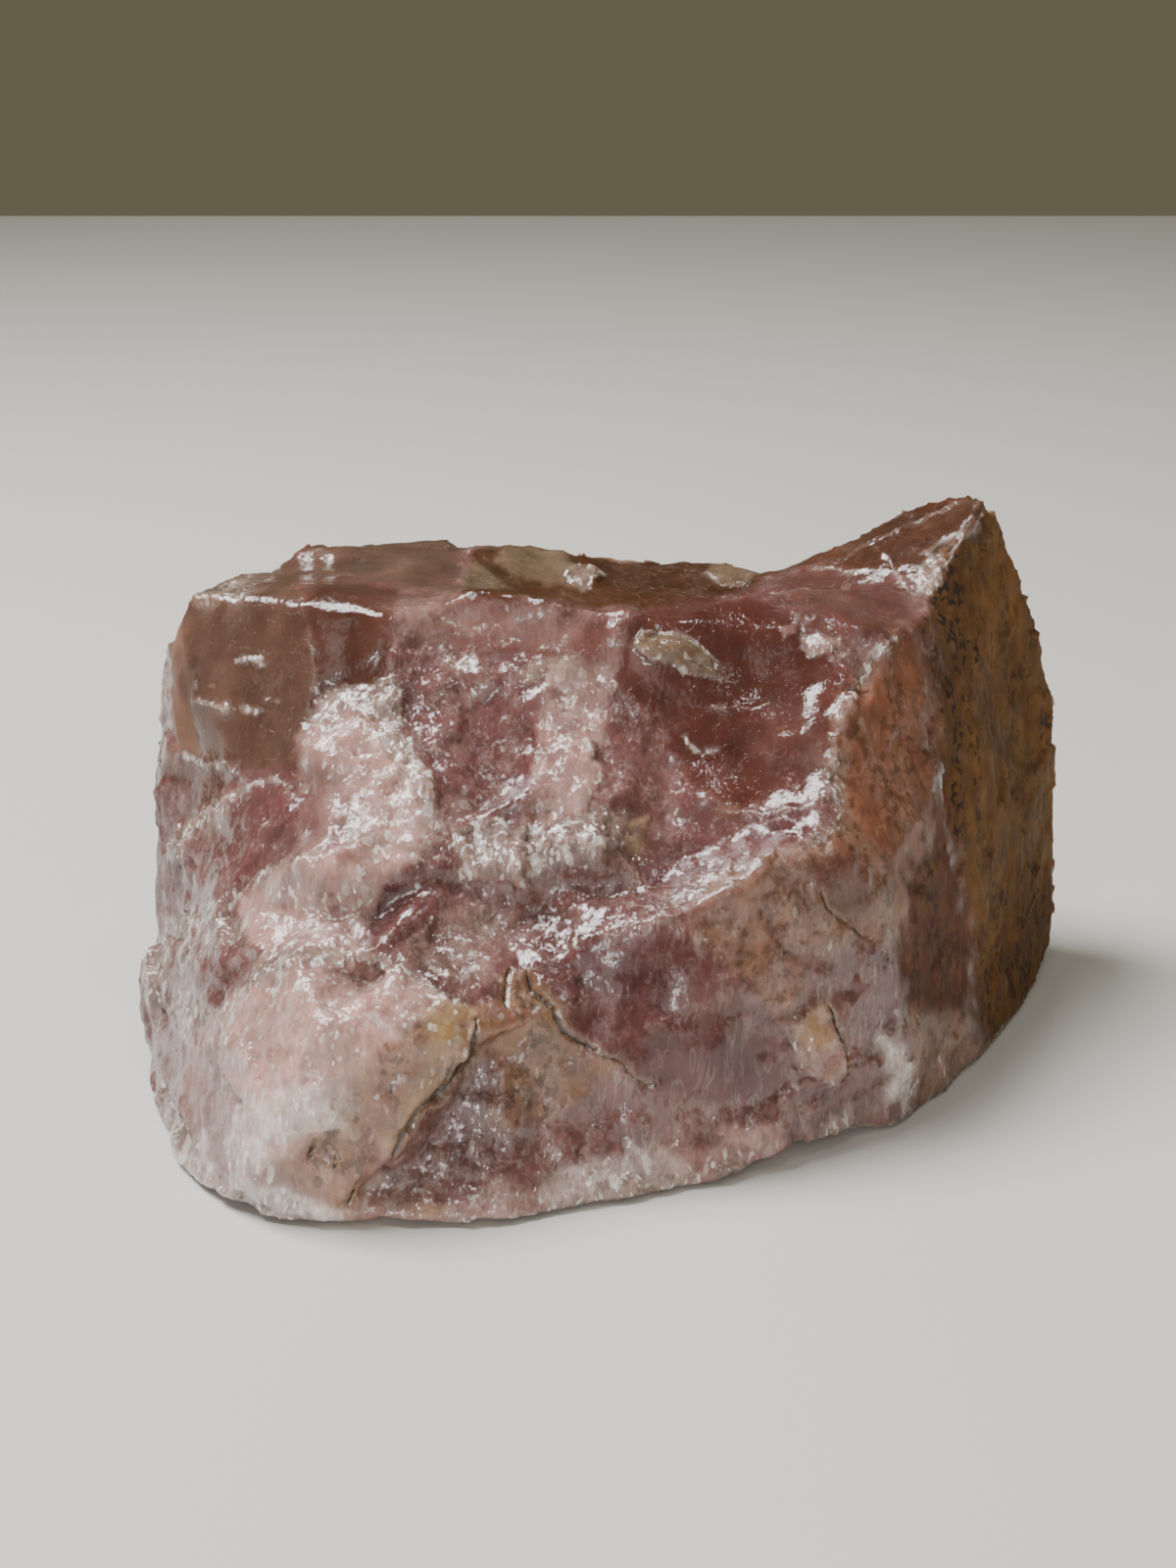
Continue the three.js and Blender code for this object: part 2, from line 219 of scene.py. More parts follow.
PATCHES: tuple[Patch, ...] = (
    Patch(Kind.MAUVE, ((120, 480), (1110, 480), (1110, 1280), (120, 1280)), 4, 0),
    Patch(Kind.PANE, ((150, 560), (290, 560), (313, 617), (321, 652), (325, 728), (300, 790),
          (255, 790), (190, 760), (150, 740)), 8, 9),
    Patch(Kind.DARK, ((309, 610), (325, 586), (355, 590), (408, 600), (402, 628), (394, 686),
          (382, 725), (355, 731), (325, 728), (321, 655)), 4, 3),
    Patch(Kind.PANE, ((296, 575), (332, 540), (467, 540), (470, 575), (459, 598), (409, 602),
          (355, 586), (317, 598)), 9, 8, 0.9),
    Patch(Kind.WORN, ((130, 600), (183, 612), (192, 700), (206, 775), (190, 800),
          (130, 800)), 5, 4),
    Patch(Kind.DARK, ((140, 765), (235, 778), (240, 800), (212, 825), (185, 850),
          (140, 880)), 9, 9, 0.9),
    Patch(Kind.MAUVE, ((130, 610), (176, 622), (176, 780), (130, 790)), 6, 8),
    # Painted shade: darker mauve over the left side.
    Patch(Kind.PLUM, ((120, 900), (185, 890), (225, 930), (215, 1010), (230, 1060),
          (120, 1070)), 18, 18, 0.6),
    # Painted shade: darker mauve along the left side.
    Patch(Kind.FLANK, ((120, 795), (190, 800), (196, 870), (180, 930), (172, 1000), (180, 1060),
          (120, 1070)), 7, 9, 0.9),
    # Painted shade and painted olive reflection in the top hollow.
    Patch(Kind.TROUGH, ((470, 606), (486, 560), (582, 545), (700, 560), (790, 560), (773, 600),
          (718, 613), (673, 622), (595, 620), (514, 616)), 5, 4),
    Patch(Kind.PALE, ((310, 745), (322, 712), (355, 702), (392, 702), (409, 771), (436, 788),
          (448, 848), (425, 880), (380, 898), (330, 885), (300, 870), (305, 800)), 5, 7),
    Patch(Kind.PLUM, ((260, 800), (300, 790), (330, 790), (335, 860), (300, 872), (250, 890),
          (225, 870)), 14, 16, 0.6),
    Patch(Kind.PLUM, ((296, 785), (335, 780), (365, 850), (350, 890), (300, 880)), 14, 22, 0.4),
    Patch(Kind.MAUVE, ((405, 632), (525, 690), (548, 694), (544, 771), (525, 821), (486, 836),
          (448, 848), (432, 778), (409, 763), (402, 705)), 4, 5),
    Patch(Kind.PLUM, ((488, 715), (545, 698), (548, 765), (528, 818), (500, 826),
          (480, 780)), 7, 9, 0.9),
    Patch(Kind.BLUSH, ((410, 600), (520, 618), (620, 630), (640, 690), (560, 680), (500, 660),
          (405, 640)), 10, 10),
    Patch(Kind.PALE, ((408, 606), (520, 620), (600, 634), (580, 662), (500, 655),
          (405, 645)), 12, 14, 0.35),
    Patch(Kind.PALE, ((560, 676), (618, 676), (627, 695), (614, 758), (600, 800), (560, 840),
          (530, 850), (545, 790), (556, 700)), 4, 5, 0.6),
    Patch(Kind.ROSE, ((625, 690), (655, 626), (764, 604), (809, 631), (823, 658), (866, 690),
          (859, 731), (850, 785), (836, 813), (800, 829), (750, 832), (700, 800), (680, 755),
          (665, 722), (645, 713)), 7, 7),
    Patch(Kind.BLUSH, ((783, 720), (835, 700), (848, 760), (838, 815), (790, 822),
          (772, 770)), 10, 8, 0.7),
    Patch(Kind.BLUSH, ((791, 585), (900, 575), (938, 615), (905, 652), (850, 662),
          (823, 632)), 9, 8),
    # Painted shade and painted olive reflection where the top hollow runs to the right.
    Patch(Kind.TROUGH, ((777, 585), (855, 540), (900, 510), (1000, 480), (1024, 500), (1012, 520),
          (960, 570), (930, 590), (850, 578)), 8, 8, 0.85),
    Patch(Kind.RIND, ((1012, 500), (1130, 500), (1130, 1140), (990, 1140), (996, 1046), (980, 900),
          (962, 800), (958, 700), (951, 601), (976, 557)), 16, 14),
    # Painted shade on the lower rind.
    Patch(Kind.SHADED, ((905, 850), (962, 800), (978, 890), (992, 960), (998, 1040), (930, 1040),
          (912, 960), (905, 900)), 10, 10),
    Patch(Kind.TAN, ((930, 1035), (990, 1030), (1000, 1070), (960, 1140),
          (932, 1150)), 12, 12, 0.7),
    Patch(Kind.PITTED, ((952, 560), (985, 555), (992, 640), (985, 720), (995, 790), (975, 850),
          (950, 800), (955, 720), (942, 660)), 10, 16, 0.8),
    Patch(Kind.PITTED, ((1042, 690), (1066, 695), (1068, 745), (1048, 748)), 8, 12, 0.8),
    Patch(Kind.PITTED, ((1030, 900), (1062, 880), (1058, 1000), (1010, 1050)), 14, 18, 0.5),
    Patch(Kind.STRIP, ((912, 645), (953, 657), (958, 823), (930, 900), (915, 960), (880, 880),
          (846, 801), (859, 712)), 10, 12, 0.9),
    Patch(Kind.TAN, ((845, 845), (900, 870), (925, 960), (880, 960), (830, 980), (795, 1054),
          (758, 1013), (700, 950), (722, 895)), 10, 12, 0.65),
    Patch(Kind.STRIP, ((846, 850), (905, 850), (915, 900), (880, 900), (845, 870)), 12, 12, 0.8),
    Patch(Kind.ROSE, ((835, 880), (870, 870), (895, 900), (893, 940), (860, 945),
          (840, 920)), 9, 8, 0.55),
    Patch(Kind.PLUM, ((549, 995), (599, 960), (690, 950), (758, 1013), (760, 1045), (795, 1060),
          (790, 1108), (722, 1125), (658, 1104), (617, 1072), (585, 1063)), 8, 9),
    Patch(Kind.MAUVE, ((835, 976), (900, 970), (928, 1060), (920, 1135), (860, 1140),
          (860, 1050)), 9, 9),
    Patch(Kind.PALE, ((808, 1045), (840, 1026), (854, 1058), (865, 1090), (852, 1108),
          (813, 1095)), 4, 5, 0.8, 0.5),
    Patch(Kind.IRON, ((808, 1045), (840, 1026), (854, 1058), (840, 1070), (813, 1070)), 6, 8, 0.4),
    Patch(Kind.TAN, ((490, 1040), (515, 985), (540, 990), (582, 1066), (625, 1085), (600, 1120),
          (560, 1135), (510, 1150)), 8, 12, 0.8),
    Patch(Kind.PALE, ((277, 885), (307, 877), (357, 881), (392, 897), (386, 922), (373, 968),
          (336, 981), (286, 981), (257, 964), (240, 927)), 4, 4),
    Patch(Kind.PLUM, ((392, 905), (473, 862), (473, 885), (440, 914), (432, 960), (407, 972),
          (365, 962), (375, 943)), 4, 4, 0.9),
    Patch(Kind.PALE, ((194, 1052), (244, 1010), (307, 981), (365, 981), (427, 997), (457, 1014),
          (486, 1027), (488, 1043), (469, 1085), (432, 1127), (407, 1168), (394, 1189),
          (360, 1260), (257, 1260), (207, 1206), (185, 1150)), 5, 6),
    Patch(Kind.TAN, ((432, 1039), (469, 1014), (488, 1027), (486, 1045), (432, 1122), (392, 1185),
          (373, 1260), (245, 1250), (298, 1168), (357, 1118), (390, 1068)), 14, 16, 0.75),
    Patch(Kind.IRON, ((446, 1040), (486, 1048), (469, 1085), (432, 1127), (400, 1180), (385, 1165),
          (420, 1110)), 9, 10, 0.35),
    Patch(Kind.FROST, ((312, 735), (320, 712), (355, 700), (390, 697), (400, 688), (408, 708),
          (409, 752), (424, 774), (440, 786), (450, 846), (436, 842), (420, 800), (396, 770),
          (385, 735), (355, 728), (328, 750)), 4, 6, 0.75, 0.5),
    Patch(Kind.FROST, ((473, 852), (500, 838), (520, 846), (560, 850), (595, 831), (640, 829),
          (660, 836), (662, 856), (625, 862), (597, 884), (573, 876), (550, 886), (536, 904),
          (470, 898)), 4, 8, 0.7, 0.6),
    Patch(Kind.PALE, ((582, 755), (600, 756), (614, 785), (597, 830), (560, 838),
          (565, 800)), 3, 3, 0.8, 0.5),
    Patch(Kind.FROST, ((525, 690), (545, 672), (590, 670), (600, 690), (570, 700),
          (545, 698)), 4, 9, 0.6),
    Patch(Kind.FROST, ((846, 790), (856, 770), (858, 820), (850, 850), (820, 872), (800, 862),
          (828, 836), (800, 832), (836, 812)), 5, 10, 0.35),
    Patch(Kind.IRON, ((640, 836), (662, 834), (664, 852), (650, 868), (638, 856)), 4, 6, 0.55),
    Patch(Kind.IRON, ((728, 822), (752, 822), (752, 860), (735, 858)), 6, 8, 0.45),
    Patch(Kind.IRON, ((446, 1022), (457, 1015), (486, 1027), (483, 1046), (469, 1046), (473, 1058),
          (452, 1062), (432, 1039)), 4, 6, 0.6, 0.5),
    Patch(Kind.IRON, ((423, 1228), (460, 1226), (460, 1250), (423, 1252)), 5, 6, 0.6),
    Patch(Kind.FROST, ((195, 1180), (240, 1185), (260, 1225), (330, 1240), (330, 1262),
          (230, 1250), (200, 1220)), 5, 12, 0.75),
    Patch(Kind.PALE, ((185, 1160), (235, 1170), (300, 1212), (400, 1228), (540, 1212), (640, 1182),
          (800, 1150), (810, 1185), (700, 1222), (540, 1270), (230, 1270),
          (185, 1220)), 10, 18, 0.6),
    # Painted shade: darker mauve over the left band of the lobe.
    Patch(Kind.PLUM, ((150, 1060), (215, 1040), (245, 1100), (240, 1180), (215, 1230),
          (150, 1200)), 18, 18, 0.6),
    Patch(Kind.CRUST, ((265, 1118), (348, 1093), (340, 1152), (277, 1177), (236, 1214),
          (215, 1190)), 12, 22, 0.55),
    Patch(Kind.CRUST, ((178, 1150), (205, 1165), (232, 1200), (275, 1218), (350, 1232),
          (345, 1270), (230, 1270), (180, 1215)), 6, 14, 0.9),
    Patch(Kind.CRUST, ((545, 1205), (600, 1185), (680, 1175), (700, 1200), (620, 1225),
          (560, 1240)), 8, 16, 0.35),
    Patch(Kind.FROST, ((540, 1240), (600, 1212), (640, 1195), (700, 1203), (707, 1214),
          (630, 1222), (560, 1252)), 4, 8, 0.8),
    Patch(Kind.FROST, ((731, 1190), (762, 1186), (757, 1208), (735, 1214)), 3, 3, 0.6, 0.4),
    Patch(Kind.FROST, ((815, 1170), (850, 1136), (892, 1132), (885, 1156),
          (832, 1172)), 5, 9, 0.7),
    # Crushed white on the ridge, which is also a painted highlight.
    Patch(Kind.CRUST, ((898, 1062), (924, 1066), (934, 1116), (908, 1120)), 6, 8, 0.85),
    Patch(Kind.FROST, ((160, 935), (225, 925), (240, 940), (225, 960), (175, 985), (160, 1010),
          (150, 990)), 7, 16, 0.55),
    Patch(Kind.FROST, ((152, 1010), (190, 1000), (215, 1030), (190, 1060),
          (160, 1065)), 8, 14, 0.5),
    Patch(Kind.FROST, ((172, 862), (195, 840), (220, 822), (246, 806), (238, 830), (212, 856),
          (185, 880)), 7, 12, 0.55),
    Patch(Kind.FROST, ((250, 970), (300, 968), (350, 965), (395, 975), (430, 990), (470, 1010),
          (455, 1014), (420, 996), (365, 980), (305, 980), (262, 1000)), 3, 7, 0.7),
    Patch(Kind.FROST, ((545, 985), (600, 950), (667, 935), (722, 890), (790, 866), (845, 842),
          (850, 852), (800, 872), (726, 902), (675, 945), (600, 958), (552, 995)), 5, 12, 0.12),
    Patch(Kind.PLUM, ((650, 905), (690, 868), (695, 810), (760, 828), (845, 810), (852, 842),
          (790, 864), (722, 890), (680, 915)), 9, 9, 0.9),
    Patch(Kind.MAUVE, ((545, 975), (600, 925), (650, 905), (680, 915), (660, 935),
          (600, 955)), 7, 9, 0.7),
    Patch(Kind.FROST, ((410, 960), (450, 950), (480, 970), (500, 1000), (470, 1005),
          (430, 985)), 7, 14, 0.5),
    Patch(Kind.FROST, ((480, 925), (540, 920), (560, 950), (520, 985), (480, 975)), 10, 18, 0.2),
    Patch(Kind.FROST, ((190, 600), (240, 590), (285, 572), (282, 590), (230, 612),
          (200, 625)), 4, 9, 0.6),
    Patch(Kind.FROST, ((940, 572), (958, 566), (962, 596), (946, 608),
          (936, 590)), 3, 3, 0.75, 0.5),
    Patch(Kind.FLAKE, ((648, 659), (655, 648), (682, 646), (709, 655), (727, 671), (735, 693),
          (714, 690), (682, 677), (655, 667)), 2, 1, 0.9, 0.8),
    Patch(Kind.PALE, ((816, 651), (836, 648), (858, 651), (850, 663),
          (824, 671)), 2.5, 2, 0.8, 0.6),
    Patch(Kind.PALE, ((795, 641), (812, 636), (812, 646), (800, 650)), 2, 1, 0.5, 0.4),
    Patch(Kind.FLAKE, ((505, 576), (514, 557), (550, 552), (573, 561), (588, 576), (616, 588),
          (591, 600), (536, 597)), 5, 6, 0.8, 0.8),
    Patch(Kind.FROST, ((570, 588), (590, 577), (616, 588), (592, 601)), 3, 3, 0.6),
    Patch(Kind.FLAKE, ((718, 586), (736, 566), (759, 566), (771, 586), (759, 596),
          (736, 598)), 5, 6, 0.8, 0.7),
    Patch(Kind.FLAKE, ((459, 600), (486, 574), (514, 600)), 4, 4, 0.7, 0.6),
)

# Cracks and clefts that hold brown earth, and how wide they are in millimetres.
CRACKS: tuple[tuple[Outline, float], ...] = (
    (((486, 1039), (484, 1077), (465, 1098), (448, 1120), (432, 1131), (411, 1160),
      (402, 1181)), 0.8),
    (((521, 983), (519, 998), (515, 1016), (517, 1030)), 0.5),
    (((536, 985), (544, 1010), (561, 1027), (573, 1048), (588, 1064), (612, 1070)), 0.7),
    (((588, 1064), (635, 1085), (649, 1102), (667, 1108)), 0.35),
    (((325, 1162), (318, 1172), (313, 1186)), 0.5),
    (((344, 1185), (338, 1194)), 0.4),
    (((361, 1212), (355, 1231)), 0.35),
    (((838, 905), (842, 925), (862, 940), (888, 960)), 0.4),
    (((845, 1026), (853, 1050), (864, 1072), (862, 1095)), 0.35),
)


# Edges and small steps crushed white, and a few white lines that are painted highlights: their
# line, width in millimetres and strength.
CRUSHED_EDGES_AND_HIGHLIGHTS: tuple[tuple[Outline, float, float], ...] = (
    (((914, 649), (895, 668), (880, 688), (868, 705), (860, 728), (852, 757), (850, 780),
      (846, 800), (838, 815)), 1.3, 0.9),
    (((850, 800), (858, 825), (850, 845)), 1.0, 0.7),
    (((838, 815), (820, 828), (790, 831), (760, 829)), 0.5, 0.7),
    (((854, 845), (817, 860), (785, 872), (760, 884), (722, 897), (699, 913), (667, 938),
      (640, 948), (599, 957), (570, 972), (545, 990)), 0.4, 0.3),
    (((320, 712), (338, 704), (357, 701), (375, 700), (392, 697), (399, 690), (406, 707),
      (407, 740), (410, 757), (424, 776), (437, 787), (441, 805), (449, 846)), 0.55, 0.9),
    (((473, 850), (487, 840), (505, 838), (520, 846), (548, 848), (560, 850)), 0.7, 0.8),
    (((536, 903), (550, 884), (573, 876), (596, 886), (625, 862), (648, 851),
      (660, 835)), 0.7, 0.8),
    (((597, 756), (605, 770), (614, 785), (604, 808), (596, 830), (612, 829), (640, 829),
      (658, 830)), 0.5, 0.9),
    (((244, 1010), (261, 998), (307, 981), (336, 980), (365, 981), (390, 987), (427, 997),
      (452, 1014), (486, 1029)), 0.8, 0.85),
    (((169, 943), (190, 935), (215, 930), (235, 920), (250, 905), (277, 888), (300, 878),
      (330, 877)), 0.8, 0.6),
    (((158, 960), (165, 985), (150, 1000)), 1.1, 0.8),
    (((155, 1010), (180, 1022), (215, 1035)), 1.3, 0.7),
    (((168, 1110), (180, 1150), (200, 1185), (225, 1215), (255, 1232), (290, 1243),
      (330, 1250)), 2.4, 0.9),
    (((455, 1250), (500, 1249), (540, 1247), (600, 1232), (640, 1221), (700, 1213)), 1.4, 0.8),
    (((735, 1210), (748, 1204), (760, 1192)), 0.8, 0.9),
    (((800, 1180), (850, 1163), (900, 1150), (940, 1142)), 1.0, 0.7),
    (((945, 1140), (975, 1120), (1000, 1090), (1020, 1060), (1045, 1035), (1055, 1020)), 1.6, 0.6),
    (((908, 1050), (922, 1080), (930, 1110), (925, 1135)), 1.0, 0.6),
    (((1010, 520), (990, 540), (975, 557), (962, 580)), 0.7, 0.7),
    (((826, 583), (850, 580), (870, 583), (895, 582)), 0.4, 0.8),
    (((895, 560), (915, 585), (935, 610)), 0.4, 0.8),
    # These four short lines on the smoky pane are painted highlight streaks, not crushed edges.
    (((198, 713), (225, 721), (250, 724), (273, 726)), 0.6, 1.0),
    (((198, 698), (220, 700)), 0.4, 0.8),
    (((243, 674), (258, 672), (271, 678)), 0.5, 1.0),
    (((270, 712), (278, 712), (286, 717)), 0.4, 0.9),
    (((315, 640), (320, 680), (322, 722)), 0.4, 0.45),
    # The pane's top edge is crushed white, and this line also paints glints along it.
    (((218, 604), (238, 596), (258, 588), (277, 584)), 1.1, 0.65),
    (((308, 572), (326, 566), (340, 570)), 0.9, 0.6),
    (((573, 590), (596, 600), (615, 588), (590, 578)), 0.4, 0.8),
    (((718, 586), (736, 597), (759, 596), (771, 586)), 0.4, 0.7),
    (((648, 659), (655, 648), (682, 646), (709, 655), (727, 671), (735, 693), (714, 690),
      (682, 677), (655, 667), (648, 659)), 0.45, 1.0),
    (((816, 651), (836, 648), (858, 651), (850, 663), (824, 671), (816, 651)), 0.4, 0.9),
    (((655, 664), (675, 662), (700, 670), (722, 684)), 0.25, 0.7),
    (((691, 745), (700, 755), (712, 765), (733, 768)), 0.35, 0.9),
    (((723, 722), (745, 725), (770, 722), (787, 717)), 0.3, 0.55),
    (((606, 700), (612, 706), (622, 706), (628, 697), (620, 690)), 0.35, 0.8),
    (((185, 770), (200, 775), (215, 780), (232, 778), (245, 790), (250, 803)), 0.7, 0.7),
    (((250, 806), (262, 797), (280, 796), (296, 803), (288, 808)), 0.6, 0.8),
    (((172, 866), (190, 850), (212, 834), (244, 808)), 0.7, 0.7),
    (((455, 674), (466, 678), (474, 686)), 0.8, 0.9),
    (((320, 915), (340, 912), (358, 908)), 0.4, 0.8),
    (((415, 965), (432, 950), (445, 935)), 0.6, 0.7),
    (((430, 985), (452, 990), (470, 1000)), 0.6, 0.8),
    (((850, 575), (900, 548), (950, 525), (985, 508)), 0.5, 0.4),
    (((808, 1045), (812, 1070), (830, 1100), (852, 1106)), 0.4, 0.4),
)


@dataclass
class Surface:
    """The look of every point of the skin, as arrays with one row for each point."""

    points: np.ndarray
    normals: np.ndarray
    values: dict[str, np.ndarray] = field(default_factory=dict)

    def blend(self, name: str, value: float | np.ndarray, share: np.ndarray) -> None:
        """Moves one value towards another by a share from 0 to 1 at each point."""
        old = self.values[name]
        share = share if old.ndim == 1 else share[:, None]
        self.values[name] = old + (value - old) * share


def piece_distance(x: np.ndarray, y: np.ndarray, start: tuple[float, float],
                   end: tuple[float, float]) -> tuple[np.ndarray, np.ndarray]:
    """Measures each pixel's distance from one straight piece of a line.

    Args:
        x: how far across each pixel is.
        y: how far down it is.
        start: where the piece starts.
        end: where it ends.

    Returns:
        The distance in pixels, and how far along the piece, 0 to 1.
    """
    (ax, ay), (bx, by) = start, end
    ex, ey = bx - ax, by - ay
    t = np.clip(((x - ax) * ex + (y - ay) * ey) / (ex * ex + ey * ey), 0, 1)
    return np.hypot(x - ax - t * ex, y - ay - t * ey), t


def outline_distance(pixels: np.ndarray, outline: Outline) -> np.ndarray:
    """Measures how far inside an outline each pixel is.

    Args:
        pixels: one row of across and down for each point.
        outline: the closed outline's corners.

    Returns:
        The distance to the outline in pixels, negative outside it.
    """
    corners = np.array(outline, float)
    nearest = np.full(len(pixels), np.inf)
    inside = np.zeros(len(pixels), bool)
    x, y = pixels.T
    for (ax, ay), (bx, by) in zip(corners, np.roll(corners, -1, axis=0)):
        nearest = np.minimum(nearest, piece_distance(x, y, (ax, ay), (bx, by))[0])
        if ay != by:
            crosses = ((ay > y) != (by > y)) & (x < (bx - ax) * (y - ay) / (by - ay) + ax)
            inside ^= crosses
    return np.where(inside, nearest, -nearest)


def line_distance(pixels: np.ndarray, line: Outline) -> tuple[np.ndarray, np.ndarray]:
    """Measures each pixel's distance from an open line.

    Args:
        pixels: one row of across and down for each point.
        line: the line's corners.

    Returns:
        The distance in pixels, and how far along the line, 0 to 1.
    """
    best = np.full(len(pixels), np.inf)
    along = np.zeros(len(pixels))
    x, y = pixels.T
    corners = np.array(line, float)
    for i, (start, end) in enumerate(zip(corners[:-1], corners[1:])):
        away, share = piece_distance(x, y, start, end)
        along = np.where(away < best, (i + share) / (len(corners) - 1), along)
        best = np.minimum(away, best)
    return best, along


def pattern(points: np.ndarray, size: float, shift: float) -> list[Vector]:
    """Gives each point's place in a pattern of lumps of a size in millimetres, moved by shift."""
    away = Vector((shift, shift * 0.7, -shift))
    return [Vector(p) * per_metre(size) + away for p in points]


def drift(points: np.ndarray, size: float, shift: float = 0.0) -> np.ndarray:
    """Gives smooth noise at each point.

    Args:
        points: one row of x, y, z in metres.
        size: how far apart its lumps are, in millimetres.
        shift: moves the pattern, for noise unlike another's.

    Returns:
        Three numbers from about -1 to 1 for each point.
    """
    return np.array([noise.noise_vector(at) for at in pattern(points, size, shift)])


def facets(points: np.ndarray, size: float, shift: float = 0.0) -> np.ndarray:
    """Gives the height of small flat facets that tilt at random, as broken crystal does.

    Args:
        points: one row of x, y, z in metres.
        size: how wide a facet is, in millimetres.
        shift: moves the pattern, for facets unlike another's.

    Returns:
        A height for each point, in facet widths, from about -0.5 to 0.5.
    """
    half = Vector((0.5, 0.5, 0.5))
    heights = np.empty(len(points))
    for i, at in enumerate(pattern(points, size, shift)):
        cell = noise.voronoi(at)[1][0]
        heights[i] = (noise.cell_vector(cell * CELLS_APART) - half).dot(at - cell)
    return heights


# The values that each point carries to the material, besides its tint.
LOOK_NAMES = ("veil", "frost", "clear", "rough", "relief", "soil", "iron")


@dataclass(frozen=True)
class Facets:
    """One size of break facet that is cut into the skin, in millimetres."""

    width: float
    height: float
    shift: float = 0.0


FACETS = (Facets(15.0, 3.6, 8.0), Facets(7.0, 1.9), Facets(3.4, 1.0, 4.0))


@dataclass
class Chunk:
    """The rose quartz chunk: one stone, with its relief and its patches.

    Lengths are in millimetres, and bands and wanders in the viewpoint's pixels.
    """

    node: str = "rose_quartz_chunk"
    slot: str = "rose_quartz"
    seed: int = 1795826751
    grain: float = 1.15
    rounding: int = 2
    ridge: float = math.radians(33)
    crispness: float = 0.75
    crack_band: float = 9
    flake_band: float = 5
    cuts: int = 2
    calming: int = 6
    slow_lumps: float = 34
    quick_lumps: float = 9
    fine_lumps: float = 3.2
    ripple: float = 4.0
    flake_height: float = 0.9
    crack_depth: float = 1.1
    foot: float = 3.0
    edge_wander: float = 2.5
    crack_wander: float = 3
    far: float = 20.0
    view: Viewpoint = field(default_factory=Viewpoint)

    def build(self) -> bpy.types.Object:
        """Builds the stone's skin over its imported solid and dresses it."""
        # Blender's noise starts from the clock unless it is seeded.
        noise.seed_set(self.seed)
        stone = self.skin()
        surface = self.read(stone)
        surface.values["bulge"] = self.bulge(stone, surface)
        self.paint(surface)
        self.carve(stone, surface)
        self.store(stone, surface)
        stone.data.materials.clear()
        stone.data.materials.append(RoseQuartz().material())
        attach(stone, "root")
        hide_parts(self.node)
        return stone

    def skin(self) -> bpy.types.Object:
        """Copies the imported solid, rounds it between its ridges and evens its grain."""
        bpy.ops.object.select_all(action="DESELECT")
        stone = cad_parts[self.node].copy()
        stone.data = stone.data.copy()
        stone.name = stone.data.name = "rose_quartz_stone"
        stone.parent = None
        for key in list(stone.keys()):
            del stone[key]
        bpy.context.scene.collection.objects.link(stone)
        stone.select_set(True)
        bpy.context.view_layer.objects.active = stone
        bpy.ops.object.mode_set(mode="EDIT")
        bpy.ops.mesh.select_all(action="SELECT")
        bpy.ops.mesh.remove_doubles(threshold=1e-6)
        bpy.ops.object.mode_set(mode="OBJECT")
        self.crease(stone)
        smooth = stone.modifiers.new("rounding", "SUBSURF")
        smooth.levels = smooth.render_levels = self.rounding
        bpy.ops.object.modifier_apply(modifier=smooth.name)
        even = stone.modifiers.new("even grain", "REMESH")
        even.mode = "VOXEL"
        even.voxel_size = self.grain * MM
        bpy.ops.object.modifier_apply(modifier=even.name)
        self.refine(stone)
        bpy.ops.object.shade_smooth()
        return stone

    def crease(self, stone: bpy.types.Object) -> None:
        """Keeps the ridges crisp through the rounding."""
        mesh = bmesh.new()
        mesh.from_mesh(stone.data)
        layer = mesh.edges.layers.float.new("crease_edge")
        for edge in mesh.edges:
            if edge.calc_face_angle(0) > self.ridge:
                edge[layer] = self.crispness
        mesh.to_mesh(stone.data)
        mesh.free()

    def refine(self, stone: bpy.types.Object) -> None:
        """Gives the skin a finer grain along its cracks and round its flakes."""
        surface = self.read(stone)
        pixels = self.view.pixels(surface.points)
        near = np.zeros(len(pixels), bool)
        for line, _ in CRACKS:
            near |= line_distance(pixels, line)[0] < self.crack_band
        for line, width, _ in CRUSHED_EDGES_AND_HIGHLIGHTS:
            near |= line_distance(pixels, line)[0] < self.flake_band * min(1, 0.6 + 0.5 * width)
        for patch in PATCHES:
            if patch.raised:
                near |= np.abs(outline_distance(pixels, patch.outline)) < self.flake_band
        near &= self.view.facing(surface.points, surface.normals) > 0.15
        stone.data.vertices.foreach_set("select", near)
        bpy.ops.object.mode_set(mode="EDIT")
        bpy.ops.mesh.select_mode(type="VERT")
        bpy.ops.mesh.subdivide(number_cuts=self.cuts, smoothness=0.6)
        bpy.ops.mesh.select_all(action="DESELECT")
        bpy.ops.object.mode_set(mode="OBJECT")

    def read(self, stone: bpy.types.Object) -> Surface:
        """Reads the skin's points and normals."""
        count = len(stone.data.vertices)
        points, normals = np.empty(count * 3), np.empty(count * 3)
        stone.data.vertices.foreach_get("co", points)
        stone.data.vertices.foreach_get("normal", normals)
        return Surface(points.reshape(-1, 3), normals.reshape(-1, 3))

    def bulge(self, stone: bpy.types.Object, surface: Surface) -> np.ndarray:
        """Finds how far each point stands out from the skin around it.

        Args:
            stone: the stone, for its edges.
            surface: its points and normals.

        Returns:
            The height over the neighbourhood in millimetres, negative in a hollow.
        """
        ends = np.empty(len(stone.data.edges) * 2, int)
        stone.data.edges.foreach_get("vertices", ends)
        a, b = ends.reshape(-1, 2).T
        count = len(surface.points)
        near = np.bincount(a, minlength=count) + np.bincount(b, minlength=count)
        calm = surface.points.copy()
        for _ in range(self.calming):
            total = np.zeros_like(calm)
            np.add.at(total, a, calm[b])
            np.add.at(total, b, calm[a])
            calm = total / near[:, None]
        return ((surface.points - calm) * surface.normals).sum(axis=1) / MM

